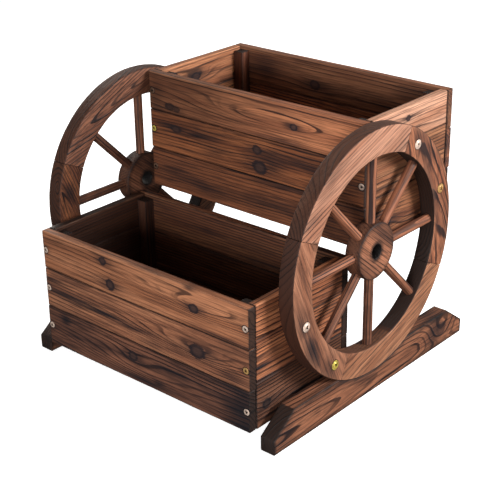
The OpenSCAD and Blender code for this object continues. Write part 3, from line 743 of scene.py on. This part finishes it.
for side, word in ((-1, "left"), (1, "right")):
    cutter = wheel_cutter(side)
    for q, nm in enumerate(NAMES):
        node = f"{word}_felloe_{nm}"
        seed += 1.0
        a_s = JOINT + 90 * q
        bm = felloe_mesh(side, a_s, 0.0022 if q % 2 == 0 else 0.0, 0.0 if q % 2 == 0 else 0.0016, seed)
        ob = to_object(bm, "vis_" + node)
        boolean(ob, cutter, keep=True)
        mid = math.radians(a_s + 45)
        ld = Vector((0, -math.sin(mid), math.cos(mid)))
        ud = Vector((0, math.cos(mid), math.sin(mid)))
        cpt = wheel_point(side, 0.138, mid, T / 2)
        off_u, off_v, kt = [(0.050, 0.040, 0.02), (0.030, 0.035, 0.05), (0.040, 0.045, -0.04), (0.004, 0.030, 0.07)][q]
        if side < 0:
            off_u, off_v, kt = [(-0.016, 0.020, 0.09), (-0.012, 0.018, 0.12), (0.035, 0.040, -0.04), (-0.006, 0.028, 0.07)][q]
        sh = seed * 0.53

        def fn(p, ld=ld, ud=ud, cpt=cpt, off_u=off_u, off_v=off_v, kt=kt, sh=sh, side=side, a_s=a_s):
            d = p - cpt
            l, u, v = d.dot(ld), d.dot(ud), side * d.x
            y, z = p.y - YC, p.z - ZC
            r = math.hypot(y, z)
            x = abs(p.x) - X0
            dist = sorted((RO - r, r - RI, x, T - x))
            # painted highlight along the arrises on the wheel's outer half
            e = -0.8 * max(0.0, min(1.0, 1.3 - dist[1] / 0.0012)) if dist[0] < 0.0012 and x > T / 2 else 0.0
            rel = (math.degrees(math.atan2(z, y)) - a_s) % 360
            arc = min(rel, abs(90 - rel), 360 - rel) * math.pi / 180 * r
            end = 0.75 if arc < 0.0004 else 0.0
            deg = math.degrees(math.atan2(z, y)) % 360
            # painted shade: the outer cylinder is darkened as a sawn surface, more towards the front and bottom and
            # less on the left wheel; the inner cylinder is darkened by angle, near black on its back half
            cut_face_and_shade = 0.0
            if RO - r < 0.0009:
                cut_face_and_shade = (0.94 + 0.22 * max(0.0, min(1.0, (deg - 140) / 35))) * (1.0 if side > 0 else 0.82)
            elif r - RI < 0.0009 or (r - RI < 0.0030 and 0.0030 < x < T - 0.0030):
                cut_face_and_shade = 1.10 if deg > 285 or deg < 75 else (0.80 if deg > 215 else 1.0)
                if deg > 288 or deg < 75:
                    end, e = 0.9, max(e, 0.55)
            # painted shade on the right wheel's outer cylinder, from above mid-height on the front round to the bottom
            if RO - r < 0.0009 and e <= 0:
                e = 0.42 * max(0.0, min(1.0, (deg - 150) / 30)) if deg < 275 and side > 0 else e
            return (l + sh, u + off_u, v + off_v + kt * l), e, end, cut_face_and_shade
        stamp(ob, fn)
        cfg = dict((FELLOE if side > 0 else FELLOE_L_SHADED)[nm])
        # painted shade ring around each bolt head
        cfg["hole_shade"] = []
        for deg, _ in BOLTS:
            if (deg - a_s) % 360 < 90:
                at = fn(wheel_point(side, BOLT_R, math.radians(deg), T))[0]
                cfg["hole_shade"].append((at[0], at[1], 0.0070))
        if nm == "lower_front" and side > 0:
            cfg["patches"] = []
            for deg, dr, ln, st in ((196, 0.004, 0.030, 0.70), (214, 0.008, 0.036, 0.95), (232, 0.009, 0.024, 0.70)):
                at = fn(wheel_point(side, BOLT_R + dr, math.radians(deg), T))[0]
                cfg["patches"].append((at[0], at[1], ln, 0.0150, st))
        if nm == "upper_front" and side > 0:
            cfg["patches"] = []
            for deg, dr, ln, st in ((128, 0.014, 0.030, 0.5), (148, 0.012, 0.022, 0.4)):
                at = fn(wheel_point(side, BOLT_R + dr, math.radians(deg), T))[0]
                cfg["patches"].append((at[0], at[1], ln, 0.006, st))
        if nm == "lower_front" and side < 0:
            cfg["patches"] = [(fn(wheel_point(side, BOLT_R, math.radians(170), T))[0][0], fn(wheel_point(side, BOLT_R, math.radians(170), T))[0][1], 0.014, 0.012, 0.7)]
        finish_piece(ob, wood("wood_" + node, seed, cut_and_shade_dark=0.90, **cfg), "fir_wheel", node)

    # hub: a turned disc with an open bore, softened edges and eight dowel sockets
    node = f"{word}_hub"
    seed += 1.0
    bm = bmesh.new()
    prof = []
    b = 0.0022
    for k in range(5):
        t = math.radians(180 + 90 * k / 4)
        prof.append((BORE_R + 0.001 + 0.001 * math.cos(t), 0.001 + 0.001 * math.sin(t)))
    prof += [(BORE_R + (HUB_R - BORE_R) * f, 0.0) for f in (0.25, 0.5, 0.75)]
    for k in range(5):
        t = math.radians(270 + 90 * k / 4)
        prof.append((HUB_R - b + b * math.cos(t), b + b * math.sin(t)))
    prof += [(HUB_R, T * f) for f in (0.3, 0.5, 0.7)]
    for k in range(5):
        t = math.radians(0 + 90 * k / 4)
        prof.append((HUB_R - b + b * math.cos(t), T - b + b * math.sin(t)))
    prof += [(BORE_R + (HUB_R - BORE_R) * f, T) for f in (0.75, 0.5, 0.25)]
    for k in range(5):
        t = math.radians(90 + 90 * k / 4)
        prof.append((BORE_R + 0.001 + 0.001 * math.cos(t), T - 0.001 + 0.001 * math.sin(t)))
    prof.append((BORE_R, T * 0.5))
    M = basis((side * X0, YC, ZC + HUB_UP), (side, 0, 0))
    rows = lathe(bm, prof, 96, M)
    for k in range(96):
        k2 = (k + 1) % 96
        bm.faces.new((rows[-1][k], rows[0][k], rows[0][k2], rows[-1][k2]))
    bmesh.ops.recalc_face_normals(bm, faces=bm.faces[:])
    wobble(bm, 0.00025, seed, (20, 30, 30))
    ob = to_object(bm, "vis_" + node)
    boolean(ob, cutter, keep=True)
    ld = Vector((0, math.cos(math.radians(-38)), math.sin(math.radians(-38))))
    ud = Vector((0, -ld.z, ld.y))

    def fnh(p, side=side, ld=ld, ud=ud, sh=seed * 0.4):
        d = p - Vector((side * (X0 + T / 2), YC, ZC + HUB_UP))
        r = math.hypot(d.y, d.z)
        x = abs(p.x) - X0
        dist = sorted((HUB_R - r, r - BORE_R, x, T - x))
        e = max(0.0, min(1.0, 1.2 - dist[1] / 0.0028)) if dist[0] < 0.0015 else 0.0
        # painted shade: the bore's inside surface is made near black through the edge and end-grain channels
        bore_shade = 1.0 if r < BORE_R + 0.0008 else 0.0
        cut_face_and_shade = 0.75 if HUB_R - r < 0.0009 else 0.0
        return (d.dot(ld) + sh, d.dot(ud) + 0.055, side * d.x + 0.030 + 0.03 * d.dot(ld)), max(e, bore_shade), bore_shade, cut_face_and_shade
    stamp(ob, fnh)
    # the left hub's lower gain is painted shade
    finish_piece(ob, wood("wood_" + node, seed, hole_shade=[(seed * 0.4, 0.055, BORE_R)], gain=0.84 if side > 0 else 0.52, spacing=0.0038, early=srgb(180, 114, 80), early2=srgb(150, 92, 62), smoke=0.3, contrast=0.66, late_w=0.32, fade_lo=0.1,
                          patches=[(seed * 0.4, 0.055 + 0.026, 0.05, 0.010, 0.55)]), "fir_wheel", node)
    drop(cutter)

    # spokes: eight round dowels with chamfered ends
    node = f"{word}_spokes"
    seed += 1.0
    bm = bmesh.new()
    axes = []
    for k in range(8):
        a = math.radians(45 * k)
        d = Vector((0, math.cos(a), math.sin(a)))
        r0, r1 = spoke_ends(a)
        ln = r1 - r0
        o = Vector((side * (X0 + T / 2), YC, ZC + HUB_UP)) + d * r0
        axes.append((o, d, ln))
        prof = [(0, 0), (SPOKE_R - 0.001, 0), (SPOKE_R, 0.001)] + [(SPOKE_R * (1 - 0.006 * math.sin(5.3 * j + k)), 0.001 + (ln - 0.002) * j / 22) for j in range(1, 22)] + [(SPOKE_R, ln - 0.001), (SPOKE_R - 0.001, ln), (0, ln)]
        lathe(bm, prof, 28, basis(o, d))
    bmesh.ops.recalc_face_normals(bm, faces=bm.faces[:])
    ob = to_object(bm, "vis_" + node)

    def fns(p, axes=axes, side=side):
        best = None
        for k, (o, d, ln) in enumerate(axes):
            w = p - o
            l = w.dot(d)
            off = (w - d * l).length + max(0.0, -l, l - ln)
            if best is None or off < best[0]:
                best = (off, k, l, w, d)
        _, k, l, w, d = best
        t = Vector((0, -d.z, d.y))
        # these spokes are darkened along their whole length: the lower three on the right wheel, the upper and front
        # three on the left
        darker_spokes = ({5: 0.30, 6: 0.42, 7: 0.14} if side > 0 else {2: 0.10, 3: 0.40, 4: 0.36}).get(k, 0.0)
        return (l + k * 0.41 + side, w.dot(t) + 0.012 + 0.004 * (k % 3), w.x * side + 0.010 + 0.0025 * (k % 4) + 0.01 * l), darker_spokes, 0.0
    stamp(ob, fns)
    # the left spokes' lower gain than the right's is painted shade
    finish_piece(ob, wood("wood_" + node, seed, gain=1.22 if side > 0 else 0.95, spacing=0.0040, early=srgb(168, 106, 74), early2=srgb(130, 76, 50), smoke=0.50, contrast=1.0, late_w=0.36), "fir_dowel", node)

# ---------------------------------------------------------------- foot beams
for side, word in ((-1, "left"), (1, "right")):
    node = f"{word}_foot_beam"
    lo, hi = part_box(node)
    seed += 1.0
    TOE, SLOPE = 0.0216, 0.0423
    top = hi.z
    half = math.sqrt((RO + 0.0002) ** 2 - (ZC - top) ** 2)

    def ztop(y):
        d = min(y - lo.y, hi.y - y)
        z = TOE + (top - TOE) * min(1.0, max(0.0, d / SLOPE))
        if abs(y - YC) < half:
            z = min(z, ZC - math.sqrt((RO + 0.0002) ** 2 - (y - YC) ** 2))
        return z
    marks = [lo.y, lo.y + 0.0009, hi.y - 0.0009, hi.y, lo.y + SLOPE - 0.0012, lo.y + SLOPE, lo.y + SLOPE + 0.0012,
             hi.y - SLOPE - 0.0012, hi.y - SLOPE, hi.y - SLOPE + 0.0012, YC - half, YC - half - 0.0008, YC + half, YC + half + 0.0008]
    n = 80
    marks += [lo.y + (hi.y - lo.y) * k / n for k in range(1, n)]
    marks = sorted(set(round(v, 6) for v in marks))
    ys = [marks[0]]
    for v in marks[1:]:
        if v - ys[-1] > 0.00035:
            ys.append(v)
    if ys[-1] != marks[-1]:
        ys[-1] = marks[-1]
    bm = bmesh.new()
    rings = []
    x0, x1 = lo.x, hi.x
    for i, y in enumerate(ys):
        c = 0.0009 if i in (0, len(ys) - 1) else 0.0
        loop = rounded_rect(0.0 + c, ztop(y) - c, x0 + c, x1 - c, 0.0015, 6, 4)
        rings.append([bm.verts.new(Vector((x, y, z))) for (z, x) in loop])
    m = len(rings[0])
    for p, q in zip(rings, rings[1:]):
        for k in range(m):
            k2 = (k + 1) % m
            bm.faces.new((p[k], q[k], q[k2], p[k2]))
    bm.faces.new(rings[0])
    bm.faces.new(rings[-1])
    bmesh.ops.recalc_face_normals(bm, faces=bm.faces[:])
    wobble(bm, 0.00022, seed, (24, 11, 24))
    for v in bm.verts:
        v.co.z = max(v.co.z, 0.0)
    ob = to_object(bm, "vis_" + node)
    sh = seed * 0.47

    def fnf(p, lo=lo, hi=hi, side=side, sh=sh):
        mid = (lo + hi) / 2
        l, u, v = p.y - mid.y, p.z - 0.026, side * (p.x - mid.x)
        x = min(p.x - lo.x, hi.x - p.x)
        zt = ztop(p.y)
        dist = sorted((x, p.z, zt - p.z, p.y - lo.y, hi.y - p.y))
        e = max(0.0, min(1.0, 1.2 - dist[1] / 0.0022)) if dist[0] < 0.0014 else 0.0
        end = 0.0
        if min(p.y - lo.y, hi.y - p.y) < 0.0006:
            end, e = 1.0, max(e, 0.35)
        elif min(p.y - lo.y, hi.y - p.y) < SLOPE and zt - p.z < 0.0008:
            end, e = 1.0, max(e, 0.35)
        return (l + sh, u + 0.004, 0.020 - v + 0.045 * (l if side > 0 else -l) + 0.013), e, end
    stamp(ob, fnf)
    # the left foot's ends are darkened far less than the right's, as painted light
    finish_piece(ob, wood("wood_" + node, seed, gain=0.77, spacing=0.0048, early=srgb(172, 108, 74), early2=srgb(142, 86, 58), smoke=0.30, contrast=1.0, late_w=0.34, fade_lo=0.55, wob1=0.007, wob2=0.0016,
                          knots=[(sh + 0.168, 0.006, 0.011, 0.012, 0.020, 0.35)], patches=[(sh + 0.150, 0.004, 0.016, 0.05, 0.8), (sh - 0.21, 0.0, 0.02, 0.04, 0.5)], end_and_shade_dark=0.97 if side > 0 else 0.35),
                 "fir_foot", node)

# ---------------------------------------------------------------- screws
PALE = metal("screw_pale", srgb(255, 226, 206), srgb(80, 56, 44), 0.36)
GOLD = metal("screw_gold", srgb(232, 208, 100), srgb(62, 46, 26), 0.34)
# shaded copy of the screw metal, as painted shade
DULL_SHADED = metal("screw_dull_shaded", srgb(122, 92, 74), srgb(40, 28, 22), 0.5)
BRASS = metal("screw_brass", srgb(226, 178, 112), srgb(62, 42, 26), 0.34)
# painted shade for the inside of the drive recesses
RECESS_SHADE = metal("screw_recess_shade", srgb(34, 26, 22), srgb(14, 11, 10), 0.6)


def slot_cutter(size, width, depth, top, turned):
    bm = bmesh.new()
    bmesh.ops.create_cube(bm, size=1.0)
    for v in bm.verts:
        down = v.co.z < 0
        s = 0.55 if down else 1.0
        v.co = Vector((v.co.x * size * 2 * s, v.co.y * width * (0.7 if down else 1.0), top - depth if down else top + 0.002))
    if turned:
        bmesh.ops.rotate(bm, verts=bm.verts[:], cent=(0, 0, 0), matrix=Matrix.Rotation(math.radians(90), 3, "Z"))
    return to_object(bm, "slot")


def screw_model(profile, size, width, depth, top, turn=0.0):
    bm = bmesh.new()
    lathe(bm, profile, 40, Matrix.Identity(4))
    bmesh.ops.recalc_face_normals(bm, faces=bm.faces[:])
    ob = to_object(bm, "screw")
    boolean(ob, slot_cutter(size, width, depth, top, False))
    boolean(ob, slot_cutter(size, width, depth * 0.97, top, True))
    return ob


flat_prof = [(0, 0.00050), (0.0030, 0.00050), (0.0041, 0.00038), (0.0046, 0.00012), (HEAD_R, -0.0003), (0.0044, -0.0008), (0.0021, -0.0030), (0.0020, -0.0033)] + \
            [(0.0020 if j % 2 else 0.00165, -0.0040 - 0.0014 * j) for j in range(1, 22)] + [(0.0009, -0.0360), (0, -0.0378)]
pan_prof = [(0, 0.00215), (0.0024, 0.00212), (0.0040, 0.0019), (0.0050, 0.00145), (0.0054, 0.0010), (0.0062, 0.00085), (0.0069, 0.0006), (0.0070, 0.0003), (0.0069, 0.0), (0.0030, 0.0), (0.0030, -0.020)]
flat_head = screw_model(flat_prof, 0.0031, 0.0021, 0.0018, 0.0005)
pan_tips = {}
for tier, ln in ((0, 0.0463), (1, 0.0408)):
    pan_tips[tier] = screw_model(pan_prof[:-1] + [(0.0030, -ln + 0.006)] + [(0.0029, -ln + 0.004), (0.0012, -ln + 0.0008), (0, -ln)], 0.0045, 0.0029, 0.0018, 0.00215)


def screw_group(name, node, items):
    """items: (model, matrix, material index)"""
    verts, faces, mats, recess_shade = [], [], [], []
    for model, M, mi in items:
        base = len(verts)
        for v in model.data.vertices:
            verts.append(M @ v.co)
            rr = math.hypot(v.co.x, v.co.y)
            top = max(0.0, 0.0005 if model is flat_head else 0.00215)
            # painted shade: marks vertices inside the drive recess, and the hidden shank
            recess_shade.append(1.0 if (rr < 0.0026 and v.co.z < top - 0.0006 and v.co.z > -0.002) or v.co.z < -0.0002 else 0.0)
        top = 0.0005 if model is flat_head else 0.00215
        for p in model.data.polygons:
            faces.append([base + i for i in p.vertices])
            c = p.center
            rc = math.hypot(c.x, c.y)
            # faces deep in the drive recess take the dark recess material as painted shade
            deep = rc < 0.0042 and c.z < top - 0.00035 * (1 + rc / 0.0034) and c.z > -0.0022 and (model is flat_head or c.z > 0.0001)
            mats.append(2 if deep else mi)
    me = bpy.data.meshes.new(name)
    me.from_pydata(verts, [], faces)
    me.update()
    ob = bpy.data.objects.new(name, me)
    scene.collection.objects.link(ob)
    at = me.attributes.new("edge", "FLOAT", "POINT")
    at.data.foreach_set("value", recess_shade)
    me.materials.append(PALE)
    me.materials.append(GOLD)
    me.materials.append(RECESS_SHADE)
    me.materials.append(BRASS)
    me.materials.append(DULL_SHADED)
    me.polygons.foreach_set("material_index", mats)
    me.shade_smooth()
    me.set_sharp_from_angle(angle=math.radians(30))
    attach(ob, "root")
    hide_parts(node)


for b, tier in enumerate(("lower", "upper")):
    flo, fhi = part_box(f"{tier}_front_plank_top")
    blo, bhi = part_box(f"{tier}_back_plank_top")
    items = []
    for s in (-1, 1):
        for k, zc in enumerate((0.031, 0.0928, 0.1533)):
            z = zc + (0.024 if tier == "lower" else 0.207)
            x = s * ((0.199 if tier == "lower" else 0.2045) - SCREW_IN)
            turn = math.radians((s * 31 + k * 47 + b * 17) % 90)
            for y, d in ((flo.y, (0, -1, 0)), (bhi.y, (0, 1, 0))):
                M = basis((x, y, z), d) @ Matrix.Rotation(turn, 4, "Z")
                # material 4 paints shade on the top and bottom screws at the upper box's left
                gold = {(1, 1, 0): 3, (-1, 1, 1): 1, (-1, 2, 1): 4, (-1, 0, 1): 4}.get((s, k, b), 0)
                items.append((flat_head, M, gold))
    screw_group(f"vis_{tier}_box_screws", f"{tier}_box_screws", items)
for side, word in ((-1, "left"), (1, "right")):
    items = []
    for i, (deg, tier) in enumerate(BOLTS):
        a = math.radians(deg)
        o = wheel_point(side, BOLT_R, a, T)
        M = basis(o, (side, 0, 0)) @ Matrix.Rotation(math.radians((37 * i + 20) % 90), 4, "Z")
        items.append((pan_tips[tier], M, (3, 0, 0, 1)[i]))
    screw_group(f"vis_{word}_wheel_screws", f"{word}_wheel_screws", items)
for ob in [flat_head] + list(pan_tips.values()):
    drop(ob)

# ---------------------------------------------------------------- hidden spacers keep their CAD shape
spacer = wood("wood_spacer", 71.0, object_coords=True, spacing=0.003, early=srgb(140, 86, 56), early2=srgb(110, 64, 42))
for word in ("left", "right"):
    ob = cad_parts[f"{word}_wheel_spacers"]
    if not ob.data.materials:
        ob.data.materials.append(spacer)
    for s in ob.material_slots:
        s.material = spacer

# ---------------------------------------------------------------- floor and light
bm = bmesh.new()
bmesh.ops.create_grid(bm, x_segments=8, y_segments=8, size=8.0)
floor = to_object(bm, "floor")
g = Graph("floor_white")
tc = g.nt.nodes.new("ShaderNodeTexCoord").outputs["Object"]
g.put(g.bsdf.inputs["Base Color"], g.mix(g.noise(tc, (3, 3, 3), (0, 0, 0), 2.0), (0.88, 0.88, 0.88, 1), (0.92, 0.92, 0.92, 1)))
g.bsdf.inputs["Roughness"].default_value = 0.9
g.bsdf.inputs["Specular IOR Level"].default_value = 0.1
g.bsdf.inputs["Emission Color"].default_value = (1, 1, 1, 1)
g.bsdf.inputs["Emission Strength"].default_value = 0.84
floor.data.materials.append(g.mat)
floor.visible_diffuse = False
floor.visible_glossy = False

# a studio dome: bright near the horizon, dim overhead, dark below
world = bpy.data.worlds.new("world")
scene.world = world
world.use_nodes = True
wt = world.node_tree
bg = wt.nodes["Background"]
wtc = wt.nodes.new("ShaderNodeTexCoord")
wsep = wt.nodes.new("ShaderNodeSeparateXYZ")
wt.links.new(wtc.outputs["Generated"], wsep.inputs[0])
wramp = wt.nodes.new("ShaderNodeValToRGB")
wmr = wt.nodes.new("ShaderNodeMapRange")
wmr.inputs["From Min"].default_value = -1.0
wmr.inputs["From Max"].default_value = 1.0
wt.links.new(wsep.outputs[2], wmr.inputs["Value"])
wt.links.new(wmr.outputs[0], wramp.inputs[0])
stops = [(0.0, 0.06), (0.47, 0.12), (0.52, 0.46), (0.60, 0.42), (0.78, 0.10), (1.0, 0.05)]
els = wramp.color_ramp.elements
while len(els) < len(stops):
    els.new(0.5)
for e, (pos, val) in zip(els, stops):
    e.position = pos
for e, (pos, val) in zip(els, stops):
    e.color = (val, val, val, 1)
wt.links.new(wramp.outputs[0], bg.inputs["Color"])
bg.inputs["Strength"].default_value = 0.9


def area(name, loc, target, size, power, color=(1, 1, 1)):
    ld = bpy.data.lights.new(name, "AREA")
    ld.shape = "RECTANGLE"
    ld.size, ld.size_y = size
    ld.energy = power
    ld.color = color
    ob = bpy.data.objects.new(name, ld)
    scene.collection.objects.link(ob)
    d = Vector(target) - Vector(loc)
    ob.location = loc
    ob.rotation_euler = d.to_track_quat("-Z", "Y").to_euler()
    return ob


area("key_right", (2.0, 0.80, 1.30), (0, 0, 0.25), (0.9, 0.9), 66.0)
area("fill_front", (1.0, -2.2, 0.62), (0, 0, 0.22), (1.2, 0.6), 38.0)
area("fill_left", (-2.0, 0.55, 0.95), (0, 0, 0.20), (1.0, 1.0), 22.0, (1.0, 0.93, 0.86))
